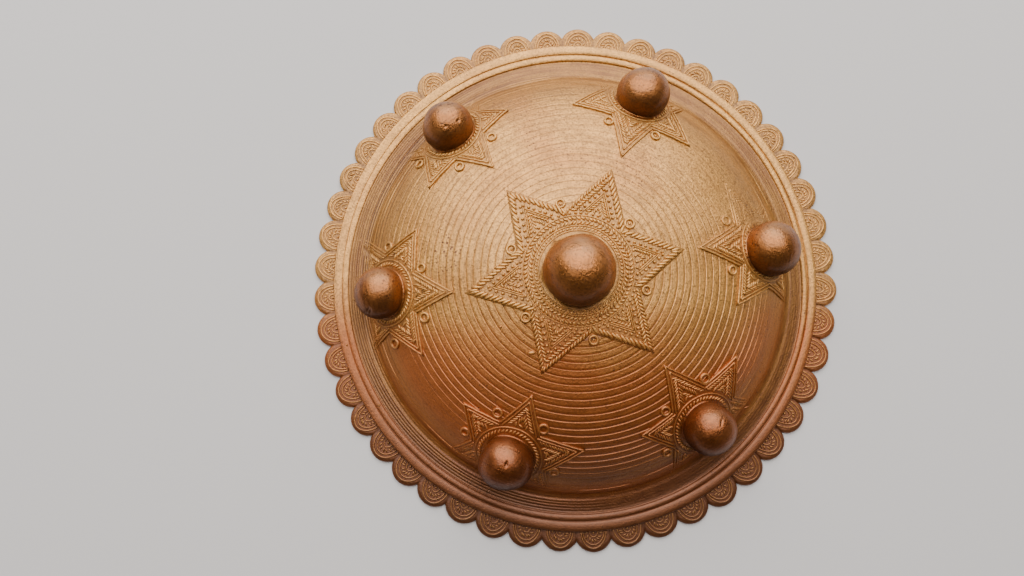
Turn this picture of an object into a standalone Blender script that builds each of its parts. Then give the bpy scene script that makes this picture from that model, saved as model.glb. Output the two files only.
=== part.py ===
"""Cast bronze buckler: a round hand shield, lying on its rim with the dome up.

One lost-wax casting. A ribbed dome runs out into a moulded rim with a scalloped
flange. Seven round bosses stand on it, each in a six-pointed star of low relief.
Metres, +Z up along the dome's axis, the rim's underside on z = 0.
"""
from math import atan2, cos, pi, radians, sin

import bmesh
import bpy
from mathutils import Matrix, Vector

# The rim and its scalloped flange
TIP_RADIUS = 0.140
NOTCH_RADIUS = 0.132
SCALLOPS = 48
SCALLOP_PHASE = radians(4.9)
SCALLOP_DRIFT = radians(1.5)
DRIFT_PHASE = radians(21.5)
SCALLOP_SEGMENTS = 4
FLANGE_THICKNESS = 0.0026
FLANGE_HOLE = 0.1100
SEAT = 0.4 * FLANGE_THICKNESS
SEAT_STEP = 0.0008

# The dome's outer outline: arcs from the crown down, each to a slope, at a radius
DOME_ARCS = (
    (radians(18.13), 0.225),
    (radians(35.0), 0.100),
    (radians(57.0), 0.046),
    (0.0, 0.005),
)
FOOT_HEIGHT = 0.0038
WALL = 0.0028
WALL_SHARES = (1.0, 0.93, 0.84, 0.7, 0.45, 0.2)
ROUND_STEPS = 36

# The coil ribs on the dome, measured down the slope from the crown
RIB_START = 0.0365
RIB_PITCH = 0.00372
RIB_COUNT = 17
RIB_DEPTH = 0.0006
PLAIN_SHARES = (0.2, 0.45, 0.65, 0.85)

# The rim's turned threads and half-round moulding
THREAD_COUNT = 3
THREAD_PITCH = 0.0022
THREAD_HEIGHT = 0.0006
MOULDING_IN = 0.1196
MOULDING_OUT = 0.1262
MOULDING_HEIGHT = 0.0014
MOULDING_ARCH = ((0.0, 0.10), (0.2, 0.29), (0.5, 0.58), (0.8, 0.86))

# Bosses: the balls on their short necks, and the collars around their feet
CROWN_BALL = 0.0171
CROWN_LIFT = 0.0065
CROWN_BANDS = 5
CROWN_FOOT = 0.0008
CROWN_RINGS = (
    (0.0194, 0.0005), (0.0208, 0.0016), (0.0223, 0.0006), (0.0246, 0.0016),
    (0.0260, 0.0006), (0.0272, 0.0016), (0.0286, 0.0000),
)
RING_BALL = 0.0134
RING_LIFT = 0.0062
RING_BANDS = 4
RING_STEPS = 14
RING_COLLAR = 0.0170
COLLAR_STEPS = 16
COLLAR_LIFT = 0.0016
COLLAR_REACH = 0.020
BALL_ROOT = 0.0024
NECK = 0.96
BOSS_RADIUS = 0.0975
BOSS_ANGLES = tuple(radians(a) for a in (8.4, 70.5, 130.8, 185.1, 248.4, 309.7))

# Stars: reach of the points, reach of the notches, and the small rings there
CROWN_STAR_TIP = 0.0526
CROWN_STAR_NOTCH = 0.0305
CROWN_STAR_PHASE = radians(11.2)
CROWN_STAR_HOLE = 0.0267
CROWN_STAR_REACH = 0.020
RING_STAR_TIPS = (0.0415, 0.0375, 0.0325, 0.0250, 0.0325, 0.0375)
RING_STAR_NOTCH = 0.60
RING_STAR_REACH = 0.036
HOLE_STEPS = 24
STAR_LIFT = 0.0009
RELIEF_ROOT = 0.0016
SKIN_EDGE = MOULDING_IN + 0.001
SKIN_SHARES = (0.0, 0.14, 0.28, 0.42, 0.54, 0.64, 0.74, 0.82, 0.88, 0.94, 1.0)
EYELET_RADIUS = 0.0029
EYELET_TAPER = 0.8
EYELET_STEPS = 8
EYELET_HEIGHT = 0.0014
CROWN_EYELET_REACH = 0.0345
RING_EYELET_REACH = 0.0250
RING_EYELET_TURNS = tuple(radians(a) for a in (90.0, 150.0, 210.0, 270.0))

BRONZE = (0.36, 0.17, 0.075, 1.0)
CREASE_ANGLE = radians(32.0)


def clear_scene():
    for item in list(bpy.data.objects):
        bpy.data.objects.remove(item, do_unlink=True)


def make_collection(name):
    group = bpy.data.collections.new(name)
    bpy.context.scene.collection.children.link(group)
    return group


def bronze():
    material = bpy.data.materials.new("cast_bronze")
    material.use_nodes = True
    shader = material.node_tree.nodes["Principled BSDF"]
    shader.inputs["Base Color"].default_value = BRONZE
    shader.inputs["Metallic"].default_value = 1.0
    shader.inputs["Roughness"].default_value = 0.42
    return material


def outline_at(run):
    """Radius, depth below the crown and slope of the dome, run metres down its face."""
    radius = depth = slope = 0.0
    for end_slope, arc in DOME_ARCS:
        length = abs(end_slope - slope) * arc
        share = min(run / length, 1.0)
        angle = slope + (end_slope - slope) * share
        bend = arc if end_slope > slope else -arc
        radius += bend * (sin(angle) - sin(slope))
        depth += bend * (cos(slope) - cos(angle))
        slope = angle
        if run <= length:
            break
        run -= length
    return radius, depth, slope


def face_length():
    """Length of the dome's face from the crown to the foot of its wall."""
    slope = 0.0
    total = 0.0
    for end_slope, arc in DOME_ARCS:
        total += abs(end_slope - slope) * arc
        slope = end_slope
    return total


FACE = face_length()
FOOT_RADIUS, DOME_DEPTH, FOOT_SLOPE = outline_at(FACE)
CROWN_HEIGHT = FOOT_HEIGHT + DOME_DEPTH


def face_point(run, lift=0.0):
    """Radius and height of a point on the face, raised by lift along the normal."""
    radius, depth, slope = outline_at(run)
    return radius + lift * sin(slope), CROWN_HEIGHT - depth + lift * cos(slope)


def run_to_radius(radius):
    """Distance down the face at which it reaches a radius."""
    low, high = 0.0, FACE
    for _ in range(40):
        middle = 0.5 * (low + high)
        if outline_at(middle)[0] < radius:
            low = middle
        else:
            high = middle
    return 0.5 * (low + high)


def turned(name, outline, steps, group):
    """A body of revolution about Z, from an outline of radius and height."""
    mesh = bpy.data.meshes.new(name)
    points = [(radius, 0.0, height) for radius, height in outline]
    mesh.from_pydata(points, [(i, i + 1) for i in range(len(points) - 1)], [])
    item = bpy.data.objects.new(name, mesh)
    group.objects.link(item)
    screw = item.modifiers.new("turn", "SCREW")
    screw.axis = "Z"
    screw.angle = 2.0 * pi
    screw.steps = steps
    screw.render_steps = steps
    screw.use_merge_vertices = True
    screw.merge_threshold = 0.00001
    return item


def plate(name, loops, thickness, placing, group):
    """A flat outline given a thickness, its middle plane at the placing matrix."""
    curve = bpy.data.curves.new(name, "CURVE")
    curve.dimensions = "2D"
    curve.fill_mode = "BOTH"
    curve.extrude = 0.5 * thickness
    for loop in loops:
        spline = curve.splines.new("POLY")
        spline.points.add(len(loop) - 1)
        for point, (x, y) in zip(spline.points, loop):
            point.co = (x, y, 0.0, 1.0)
        spline.use_cyclic_u = True
    drawn = bpy.data.objects.new(name + "_outline", curve)
    group.objects.link(drawn)
    drawn.matrix_world = placing
    bpy.context.view_layer.update()
    depsgraph = bpy.context.evaluated_depsgraph_get()
    mesh = bpy.data.meshes.new_from_object(drawn.evaluated_get(depsgraph))
    cage = bmesh.new()
    cage.from_mesh(mesh)
    bmesh.ops.remove_doubles(cage, verts=cage.verts, dist=0.00001)
    bmesh.ops.recalc_face_normals(cage, faces=cage.faces)
    cage.to_mesh(mesh)
    cage.free()
    item = bpy.data.objects.new(name, mesh)
    group.objects.link(item)
    item.matrix_world = drawn.matrix_world
    bpy.data.objects.remove(drawn, do_unlink=True)
    return item


def guide(item):
    item.hide_render = True
    item.display_type = "WIRE"
    return item


def combine(item, other, operation):
    step = item.modifiers.new(other.name, "BOOLEAN")
    step.operation = operation
    step.solver = "EXACT"
    step.object = other


def ball_outline(ball, lift, bands):
    """The upper half of a ball, from its top down to its widest circle."""
    points = []
    for band in range(bands + 1):
        turn = 0.5 * pi * band / bands
        points.append((ball * sin(turn), lift + ball * cos(turn)))
    return points


def dome_outline():
    """Crown boss, ribbed face, rim, underside and the hollow inside, as one line."""
    points = []
    for radius, rise in ball_outline(CROWN_BALL, CROWN_LIFT, CROWN_BANDS):
        points.append((radius, CROWN_HEIGHT + rise))
    points.append(face_point(run_to_radius(NECK * CROWN_BALL), CROWN_FOOT))
    for radius, lift in CROWN_RINGS:
        points.append(face_point(run_to_radius(radius), lift))
    for rib in range(RIB_COUNT):
        run = RIB_START + rib * RIB_PITCH
        points.append(face_point(run, -RIB_DEPTH))
        points.append(face_point(run + 0.5 * RIB_PITCH))
    last = RIB_START + RIB_COUNT * RIB_PITCH
    points.append(face_point(last, -RIB_DEPTH))
    for share in PLAIN_SHARES:
        points.append(face_point(last + (FACE - last) * share))
    for thread in range(THREAD_COUNT):
        radius = FOOT_RADIUS + thread * THREAD_PITCH
        points.append((radius, FOOT_HEIGHT))
        points.append((radius + 0.5 * THREAD_PITCH, FOOT_HEIGHT + THREAD_HEIGHT))
    width = MOULDING_OUT - MOULDING_IN
    for share, arch in MOULDING_ARCH:
        rise = MOULDING_HEIGHT * sin(pi * arch)
        points.append((MOULDING_IN + width * share, FOOT_HEIGHT + rise))
    points.append((MOULDING_OUT, FOOT_HEIGHT))
    points.append((MOULDING_OUT, SEAT))
    inner = []
    for share in WALL_SHARES:
        radius, height = face_point(FACE * share, -WALL)
        if height > SEAT:
            inner.append((radius, height))
    points.append((inner[0][0] + SEAT_STEP, SEAT))
    points.extend(inner)
    points.append((0.0, CROWN_HEIGHT - WALL))
    return points


def notch_angle(index):
    """The scallops were stepped off by eye, so they drift around the rim."""
    even = SCALLOP_PHASE + (index - 0.5) * 2.0 * pi / SCALLOPS
    return even + SCALLOP_DRIFT * sin(even + DRIFT_PHASE)


def scalloped_loop():
    """Half-round scallops side by side, each an arc from notch to notch."""
    loop = []
    for index in range(SCALLOPS):
        middle = 0.5 * (notch_angle(index) + notch_angle(index + 1))
        half = 0.5 * (notch_angle(index + 1) - notch_angle(index))
        rise = TIP_RADIUS - NOTCH_RADIUS * cos(half)
        side = NOTCH_RADIUS * sin(half)
        arc = (rise * rise + side * side) / (2.0 * rise)
        spread = atan2(side, arc - rise)
        for step in range(SCALLOP_SEGMENTS):
            turn = -spread + 2.0 * spread * step / SCALLOP_SEGMENTS
            x = TIP_RADIUS - arc + arc * cos(turn)
            y = arc * sin(turn)
            loop.append((x * cos(middle) - y * sin(middle), x * sin(middle) + y * cos(middle)))
    return loop


def circle_loop(radius, count):
    turns = [2.0 * pi * step / count for step in range(count)]
    return [(radius * cos(turn), radius * sin(turn)) for turn in turns]


def make_flange(group):
    hole = circle_loop(FLANGE_HOLE, ROUND_STEPS)
    place = Matrix.Translation((0.0, 0.0, 0.5 * FLANGE_THICKNESS))
    return plate("scalloped_flange", [scalloped_loop(), hole], FLANGE_THICKNESS, place, group)


def face_frame(radius, angle):
    """Placing on the dome's face: Z along its normal, X down the slope."""
    run = run_to_radius(radius)
    radius, height = face_point(run)
    slope = outline_at(run)[2]
    down = Vector((cos(slope) * cos(angle), cos(slope) * sin(angle), -sin(slope)))
    normal = Vector((sin(slope) * cos(angle), sin(slope) * sin(angle), cos(slope)))
    side = normal.cross(down)
    frame = Matrix((down, side, normal)).transposed().to_4x4()
    frame.translation = (radius * cos(angle), radius * sin(angle), height)
    return frame


def star_loop(tips, notches, phase):
    """Twelve corners of a six-pointed star."""
    loop = []
    for point in range(6):
        angle = phase + point * pi / 3.0
        loop.append((tips[point] * cos(angle), tips[point] * sin(angle)))
        angle += pi / 6.0
        loop.append((notches[point] * cos(angle), notches[point] * sin(angle)))
    return loop


def relief_skin(name, lift, group):
    """A skin that follows the dome, from inside its wall to the top of a relief."""
    runs = [FACE * share for share in SKIN_SHARES]
    outer = [face_point(run, lift) for run in runs]
    inner = [face_point(run, -RELIEF_ROOT) for run in runs]
    edge = (SKIN_EDGE, outer[-1][1])
    under = (SKIN_EDGE, inner[-1][1])
    return guide(turned(name, outer + [edge, under] + inner[::-1], ROUND_STEPS, group))


def make_stars(skin, group):
    loop = star_loop([CROWN_STAR_TIP] * 6, [CROWN_STAR_NOTCH] * 6, CROWN_STAR_PHASE)
    hole = circle_loop(CROWN_STAR_HOLE, HOLE_STEPS)
    place = Matrix.Translation((0.0, 0.0, CROWN_HEIGHT))
    stars = [plate("crown_star", [loop, hole], CROWN_STAR_REACH, place, group)]
    notches = []
    for point in range(6):
        pair = RING_STAR_TIPS[point] + RING_STAR_TIPS[(point + 1) % 6]
        notches.append(RING_STAR_NOTCH * 0.5 * pair)
    loop = star_loop(RING_STAR_TIPS, notches, pi)
    for number, angle in enumerate(BOSS_ANGLES):
        place = face_frame(BOSS_RADIUS, angle)
        stars.append(plate("ring_star_%d" % number, [loop], RING_STAR_REACH, place, group))
    for star in stars:
        combine(star, skin, "INTERSECT")
    return stars


def make_bosses(skin, group):
    """Six balls around the dome, each on a collar that follows the face."""
    pieces = []
    outline = ball_outline(RING_BALL, RING_LIFT, RING_BANDS)
    outline.append((NECK * RING_BALL, 0.0))
    outline.append((NECK * RING_BALL, -BALL_ROOT))
    outline.append((0.0, -BALL_ROOT))
    for number, angle in enumerate(BOSS_ANGLES):
        place = face_frame(BOSS_RADIUS, angle)
        rim = circle_loop(RING_COLLAR, COLLAR_STEPS)
        collar = plate("ring_collar_%d" % number, [rim], COLLAR_REACH, place, group)
        combine(collar, skin, "INTERSECT")
        ball = turned("ring_ball_%d" % number, outline, RING_STEPS, group)
        ball.matrix_world = place
        pieces.extend([collar, ball])
    return pieces


def eyelet_frames():
    """The small rings sit in the notches of the stars, where the wall lets them."""
    frames = []
    for point in range(6):
        angle = CROWN_STAR_PHASE + (point + 0.5) * pi / 3.0
        frames.append(face_frame(CROWN_EYELET_REACH, angle))
    for boss in BOSS_ANGLES:
        frame = face_frame(BOSS_RADIUS, boss)
        for turn in RING_EYELET_TURNS:
            reach = Vector((RING_EYELET_REACH * cos(turn), RING_EYELET_REACH * sin(turn), 0.0))
            spot = frame @ reach
            frames.append(face_frame(spot.xy.length, atan2(spot.y, spot.x)))
    return frames


def make_eyelets(group):
    """Round studs of low height, all one guide, each square to the dome's face."""
    cage = bmesh.new()
    middle = Matrix.Translation((0.0, 0.0, 0.5 * (EYELET_HEIGHT - RELIEF_ROOT)))
    for frame in eyelet_frames():
        bmesh.ops.create_cone(
            cage,
            cap_ends=True,
            segments=EYELET_STEPS,
            radius1=EYELET_RADIUS,
            radius2=EYELET_TAPER * EYELET_RADIUS,
            depth=EYELET_HEIGHT + RELIEF_ROOT,
            matrix=frame @ middle,
        )
    mesh = bpy.data.meshes.new("eyelets")
    cage.to_mesh(mesh)
    cage.free()
    item = bpy.data.objects.new("eyelets", mesh)
    group.objects.link(item)
    return item


def settle(item):
    """Apply the unions, then shade the round faces smooth between the creases."""
    bpy.context.view_layer.update()
    depsgraph = bpy.context.evaluated_depsgraph_get()
    item.data = bpy.data.meshes.new_from_object(item.evaluated_get(depsgraph))
    item.modifiers.clear()
    item.data.shade_smooth()
    item.data.set_sharp_from_angle(angle=CREASE_ANGLE)
    item.data.materials.clear()
    item.data.materials.append(bronze())


def main():
    clear_scene()
    shield = make_collection("buckler")
    guides = make_collection("cutters")
    casting = turned("buckler_casting", dome_outline(), ROUND_STEPS, shield)
    additions = [make_flange(guides)]
    additions.extend(make_stars(relief_skin("star_skin", STAR_LIFT, guides), guides))
    additions.extend(make_bosses(relief_skin("collar_skin", COLLAR_LIFT, guides), guides))
    additions.append(make_eyelets(guides))
    for addition in additions:
        combine(casting, guide(addition), "UNION")
    settle(casting)


main()
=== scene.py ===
import math

import bpy
import numpy as np
from mathutils import Matrix


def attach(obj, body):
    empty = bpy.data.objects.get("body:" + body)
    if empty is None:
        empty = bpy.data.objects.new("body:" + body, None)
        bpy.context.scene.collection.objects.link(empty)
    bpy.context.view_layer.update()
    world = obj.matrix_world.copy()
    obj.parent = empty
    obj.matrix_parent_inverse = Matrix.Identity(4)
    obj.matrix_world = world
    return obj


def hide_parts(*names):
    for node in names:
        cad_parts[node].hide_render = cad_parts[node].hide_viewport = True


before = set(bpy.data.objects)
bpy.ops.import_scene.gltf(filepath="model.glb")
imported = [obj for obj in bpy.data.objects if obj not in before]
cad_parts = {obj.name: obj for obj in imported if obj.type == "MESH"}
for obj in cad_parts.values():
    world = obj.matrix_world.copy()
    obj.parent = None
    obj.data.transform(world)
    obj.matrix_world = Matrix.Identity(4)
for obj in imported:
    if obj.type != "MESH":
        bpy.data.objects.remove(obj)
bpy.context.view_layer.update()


# The shell: dome and rim
# One lost-wax casting in bronze, 2.8 mm thick. Wax coils were laid round the dome and rubbed
# down, so that a narrow groove is left between each pair; the rim was shaped on the turn.
FACE_ARCS = ((18.13, 0.225), (35.0, 0.100), (57.0, 0.046), (0.0, 0.005))
ARC_STEPS = 200
FOOT_HEIGHT = 0.0038
RIM_REACH = 0.030
WALL = 0.0028
SWELL_SIZE = 0.00007
COLUMNS = 256

face_slope = [0.0]
face_run = [0.0]
for end_slope, arc in FACE_ARCS:
    turned = np.radians(np.linspace(math.degrees(face_slope[-1]), end_slope, ARC_STEPS))[1:]
    face_run.extend(face_run[-1] + arc * np.abs(turned - face_slope[-1]))
    face_slope.extend(turned)
FACE = face_run[-1]
face_run = np.array(face_run + [FACE + RIM_REACH])
face_slope = np.array(face_slope + [0.0])
middle_slope = 0.5 * (face_slope[1:] + face_slope[:-1])
face_radius = np.concatenate([[0.0], np.cumsum(np.diff(face_run) * np.cos(middle_slope))])
face_height = -np.concatenate([[0.0], np.cumsum(np.diff(face_run) * np.sin(middle_slope))])
face_height += FOOT_HEIGHT - face_height[-1]
FOOT_RADIUS = np.interp(FACE, face_run, face_radius)


def full_turn(count):
    """Even steps round a full turn, in radians."""
    return 2.0 * math.pi * np.arange(count) / count


def polar(radius, angle, height):
    """Points at a reach and a turn from the middle, at a height."""
    radius, angle, height = np.broadcast_arrays(radius, angle, height)
    return np.stack([radius * np.cos(angle), radius * np.sin(angle), height], axis=-1)


def waver(angle, seed, waves=6):
    """A smooth wandering value around a full turn, about one in size."""
    draw = np.random.default_rng(seed)
    total = np.zeros_like(angle)
    for _ in range(waves):
        size, pace, start = draw.normal(), draw.integers(1, 9), draw.uniform(0.0, 2.0 * math.pi)
        total += size * np.sin(pace * angle + start)
    return total / math.sqrt(waves)


def swell(x, y):
    """The face is a little uneven by hand: slow rises and falls of a quarter millimetre."""
    draw = np.random.default_rng(11)
    total = np.zeros_like(x)
    for _ in range(14):
        heading = draw.uniform(0.0, 2.0 * math.pi)
        pace = draw.uniform(60.0, 200.0)
        start = draw.uniform(0.0, 2.0 * math.pi)
        total += np.sin(pace * (x * math.cos(heading) + y * math.sin(heading)) + start)
    return SWELL_SIZE * total


def on_face(run, angle, lift):
    """Points on the dome, a run down its face from the crown, lifted square to it."""
    run, angle, lift = np.broadcast_arrays(run, angle, lift)
    slope = np.interp(run, face_run, face_slope)
    radius = np.interp(run, face_run, face_radius)
    lift = lift + swell(radius * np.cos(angle), radius * np.sin(angle)) * (run < FACE - 0.004)
    height = np.interp(run, face_run, face_height) + lift * np.cos(slope)
    return polar(radius + lift * np.sin(slope), angle, height)


def quads(rows, columns, wrap_rows=False):
    """Faces between the rows of a grid that closes around its columns."""
    index = np.arange(rows * columns).reshape(rows, columns)
    if wrap_rows:
        index = np.vstack([index, index[:1]])
    following = np.roll(index, -1, axis=1)
    faces = np.stack([index[:-1], index[1:], following[1:], following[:-1]], axis=-1)
    return faces.reshape(-1, 4).tolist()


def pole_faces(rows, columns):
    """Faces from a grid's first and last rows to the two points that follow it."""
    top, last = rows * columns, (rows - 1) * columns
    faces = []
    for column in range(columns):
        after = (column + 1) % columns
        faces.append([top, column, after])
        faces.append([last + column, top + 1, last + after])
    return faces


def make_piece(name, spots, faces, crest_and_painted_light, *materials):
    """A smooth mesh that keeps how far each point stands out of the recesses, and on the bosses
    and the moulding's lower side painted light and shade as well.
    """
    mesh = bpy.data.meshes.new(name)
    mesh.from_pydata(np.asarray(spots).reshape(-1, 3).tolist(), [], faces)
    kept = mesh.attributes.new("crest_and_painted_light", "FLOAT", "POINT")
    kept.data.foreach_set("value", np.asarray(crest_and_painted_light).ravel())
    mesh.shade_smooth()
    for material in materials:
        mesh.materials.append(material)
    piece = bpy.data.objects.new(name, mesh)
    bpy.context.scene.collection.objects.link(piece)
    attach(piece, "root")
    return piece


def linear(sheet_hex):
    """An sRGB hex colour as linear RGBA."""
    parts = [int(sheet_hex[i:i + 2], 16) / 255.0 for i in (1, 3, 5)]
    return [p / 12.92 if p <= 0.04045 else ((p + 0.055) / 1.055) ** 2.4 for p in parts] + [1.0]


def add_node(tree, kind, inputs=None, output=0, **settings):
    """Adds a node with its settings and links, and gives back one of its outputs; an input
    takes a value or another node's output."""
    node = tree.nodes.new(kind)
    for name, value in settings.items():
        setattr(node, name, value)
    for name, value in (inputs or {}).items():
        if isinstance(value, bpy.types.NodeSocket):
            tree.links.new(value, node.inputs[name])
        else:
            node.inputs[name].default_value = value
    return node.outputs[output]


RAMP = "ShaderNodeMapRange"
MATH = "ShaderNodeMath"
MIX = "ShaderNodeMix"
NOISE = "ShaderNodeTexNoise"
SPLIT = "ShaderNodeSeparateXYZ"
VECTOR = "ShaderNodeVectorMath"


def cast_bronze_patinated(
        name, tan, brown, orange_patina_and_light, red, wall_tan, dirt_and_shade_brown, rubbed,
        smooth, rough, metallic, coat, polish, pitted=0.0):
    """Cast bronze with a handled brown patina: golden where worn, red-brown in clouds,
    near black in the recesses, with fine casting pits. Light and shade are painted in too:
    shade low down, on the wall and the lower rim, light on the steep wall, its foot and in the
    orange clouds, and a highlight above."""
    material = bpy.data.materials.new(name)
    material.use_nodes = True
    tree = material.node_tree
    shader = tree.nodes["Principled BSDF"]
    place = add_node(tree, "ShaderNodeTexCoord", output="Object")
    crest_and_painted_light = add_node(tree, "ShaderNodeAttribute", output="Fac", attribute_name="crest_and_painted_light")
    x = add_node(tree, SPLIT, {0: place}, "X")
    y = add_node(tree, SPLIT, {0: place}, "Y")
    flat = add_node(tree, "ShaderNodeCombineXYZ", {0: x, 1: y})
    reach = add_node(tree, VECTOR, {0: flat}, "Value", operation="LENGTH")

    # Clouds of patina about 35 mm across, mottling of 5 mm, a skin grain of 0.9 mm, specks of
    # 1.1 mm, and stains of 42 mm on the wall. Real casting skin is finer still; grain and specks
    # are drawn as coarse as they need to show.
    clouds, mottle, grain, speckle, stained = [
        add_node(tree, NOISE, {
            "Vector": place, "Scale": 1 / size, "Detail": detail, "Roughness": roughness})
        for size, detail, roughness in (
            (0.035, 4.0, 0.5), (0.005, 3.0, 0.5), (0.0009, 2.0, 0.5),
            (0.0011, 3.0, 0.7), (0.042, 5.0, 0.6))]
    # Turning lines about a millimetre apart, that come and go as they run round
    around = add_node(tree, VECTOR, {0: flat}, operation="NORMALIZE")
    around = add_node(tree, VECTOR, {0: around, "Scale": 4.0}, operation="SCALE")
    paced = add_node(tree, MATH, {0: reach, 1: 1 / 0.0012}, operation="MULTIPLY")
    paced = add_node(tree, "ShaderNodeCombineXYZ", {
        0: add_node(tree, SPLIT, {0: around}, "X"), 1: add_node(tree, SPLIT, {0: around}, "Y"),
        2: paced})
    lines = add_node(tree, NOISE, {"Vector": paced, "Scale": 1.0, "Detail": 2.0})

    # The share of each coat or place, from a first to a last value of a pattern, of the reach
    # from the crown, of the place along y, or of how far the metal stands out, which also carries
    # painted light and shade on the bosses and the moulding
    share = {}
    for title, value, first, last, low, high in (
            ("cloud", clouds, 0.46, 0.70, 0.0, 0.40),
            ("fleck", mottle, 0.40, 0.66, 0.0, 0.25),
            ("speck", speckle, 0.47, 0.66, 0.0, 0.80),
            ("score", lines, 0.50, 0.70, 0.0, 0.40),
            ("dome", reach, 0.098, 0.110, 1.0, 0.0),
            ("wall", reach, 0.088, 0.106, 0.0, 1.0),
            ("wall_end", reach, 0.1185, 0.1200, 1.0, 0.0),
            ("wall_depth", reach, 0.106, 0.112, 0.48, 0.85),
            # Painted light: the steep wall is lightened all round, and the foot of the wall in the
            # lower half
            ("steep_start", reach, 0.097, 0.105, 0.0, 1.0),
            ("steep_end", reach, 0.113, 0.108, 0.0, 0.46),
            ("foot_start", reach, 0.1025, 0.1070, 0.0, 1.0),
            ("foot_end", reach, 0.1120, 0.1095, 0.0, 0.42),
            ("foot_below", y, 0.010, -0.050, 0.0, 1.0),
            # Painted shade: the rim darkens towards the bottom
            ("rim", reach, 0.113, 0.119, 0.0, 1.0),
            ("rim_below", y, 0.005, -0.080, 0.0, 0.50),
            ("blot", stained, 0.36, 0.66, 0.0, 0.45),
            ("streak", lines, 0.44, 0.62, 0.0, 0.50),
            # Painted shade: redder and darker towards the bottom
            ("painted_shade_lowest", y, -0.045, -0.120, 0.0, 0.80),
            ("crest_and_painted_light", crest_and_painted_light, 0.80, 1.0, 0.10, 0.95),
            # Painted highlight: the rubbed colour is kept above and lessened towards the bottom
            ("painted_highlight_above", y, 0.020, -0.100, 1.0, 0.35),
            # Dirt in the recesses, and painted shade where the crest is lowered for it
            ("dirt_and_shade", crest_and_painted_light, 0.55, 0.0, 0.0, 0.80)):
        share[title] = add_node(tree, RAMP, {0: value, 1: first, 2: last, 3: low, 4: high})
    share["mottle"] = mottle
    for title, *factors in (
            ("wall_shade", "wall", "wall_end", "wall_depth"),
            ("painted_light_steep", "steep_start", "steep_end"),
            ("foot", "foot_start", "foot_end", "foot_below"),
            ("painted_shade_low_rim", "rim", "rim_below"),
            ("rub_and_highlight", "crest_and_painted_light", "mottle", "painted_highlight_above")):
        share[title] = share[factors[0]]
        for factor in factors[1:]:
            share[title] = add_node(
                tree, MATH, {0: share[title], 1: share[factor]}, operation="MULTIPLY")
    # Painted shade: the lower half is browner, and redder towards the bottom. Red patina also
    # gathers on the wall in blots and streaks, where the wall's painted shade lies
    painted_shade_low_side = add_node(tree, MATH, {0: clouds, 1: 0.06, 2: y}, operation="MULTIPLY_ADD")
    painted_shade_low_side = add_node(
        tree, MATH, {0: share["wall"], 1: -0.020, 2: painted_shade_low_side}, operation="MULTIPLY_ADD")
    share["painted_shade_low_side"] = add_node(tree, RAMP, {0: painted_shade_low_side, 1: 0.014, 2: -0.020, 3: 0.0, 4: 0.95})
    stain_and_shade = add_node(tree, MATH, {0: share["blot"], 1: share["streak"]}, operation="ADD")
    share["stain_and_shade"] = add_node(
        tree, MATH, {0: stain_and_shade, 1: share["wall_shade"], 2: share["painted_shade_lowest"]},
        operation="MULTIPLY_ADD", use_clamp=True)
    # Two clouds of orange patina lie on the dome, low on the left and on the right, where they
    # also lighten places in shade as painted light
    for title, middle, spread, most in (
            ("orange_and_light_left", (-0.070, -0.066, 0.018), 0.054, 0.60),
            ("orange_and_light_right", (0.094, -0.034, 0.012), 0.034, 0.45)):
        away = add_node(tree, VECTOR, {0: place, 1: middle}, "Value", operation="DISTANCE")
        away = add_node(
            tree, RAMP, {0: away, 1: spread, 2: 0.3 * spread, 3: 0.0, 4: most},
            interpolation_type="SMOOTHSTEP")
        share[title] = add_node(tree, MATH, {0: away, 1: share["dome"]}, operation="MULTIPLY")
    for title in ("speck", "score"):
        share[title + "_dirt"] = add_node(
            tree, MATH, {0: share[title], 1: 0.35}, operation="MULTIPLY")

    # Casting pits of about half a millimetre, in patches, and thickest left of the crown star
    cell = add_node(tree, "ShaderNodeTexVoronoi", {"Vector": place, "Scale": 1 / 0.0024})
    patch = add_node(tree, RAMP, {0: clouds, 1: 0.50, 2: 0.62, 3: pitted, 4: pitted + 0.15})
    away = add_node(
        tree, VECTOR, {0: place, 1: (-0.066, 0.010, 0.030)}, "Value", operation="DISTANCE")
    thick = add_node(tree, RAMP, {0: away, 1: 0.022, 2: 0.006, 3: 0.0, 4: 0.24})
    patch = add_node(tree, MATH, {0: patch, 1: thick}, operation="MAXIMUM")
    share["pit"] = add_node(tree, MATH, {0: cell, 1: patch}, operation="LESS_THAN")

    # The coats, each laid over the last: golden metal, then the browns of the patina with painted
    # shade on the lower half and the wall, painted light on the steep wall, its foot and the
    # orange clouds, painted shade on the lower rim, and at the end wear with a painted highlight
    # above, dirt with painted shade, and pits
    tone = linear(tan)
    for title, colour in (
            ("cloud", brown), ("fleck", wall_tan), ("speck", wall_tan), ("score", wall_tan),
            ("painted_shade_low_side", brown), ("wall_shade", wall_tan), ("painted_light_steep", tan), ("stain_and_shade", red),
            ("foot", orange_patina_and_light), ("orange_and_light_left", orange_patina_and_light), ("orange_and_light_right", orange_patina_and_light),
            ("painted_shade_low_rim", dirt_and_shade_brown), ("speck_dirt", dirt_and_shade_brown), ("score_dirt", dirt_and_shade_brown),
            ("rub_and_highlight", rubbed), ("dirt_and_shade", dirt_and_shade_brown), ("pit", "#6A4022")):
        tone = add_node(
            tree, MIX, {0: share[title], 6: tone, 7: linear(colour)}, 2, data_type="RGBA")
    tree.links.new(tone, shader.inputs["Base Color"])

    sheen = add_node(tree, RAMP, {0: mottle, 1: 0.35, 2: 0.68, 3: smooth, 4: rough})
    sheen = add_node(tree, MIX, {0: share["dirt_and_shade"], 2: sheen, 3: 0.7})
    tree.links.new(sheen, shader.inputs["Roughness"])
    shader.inputs["Metallic"].default_value = metallic
    shader.inputs["Coat Weight"].default_value = coat
    shader.inputs["Coat Roughness"].default_value = polish

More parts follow.
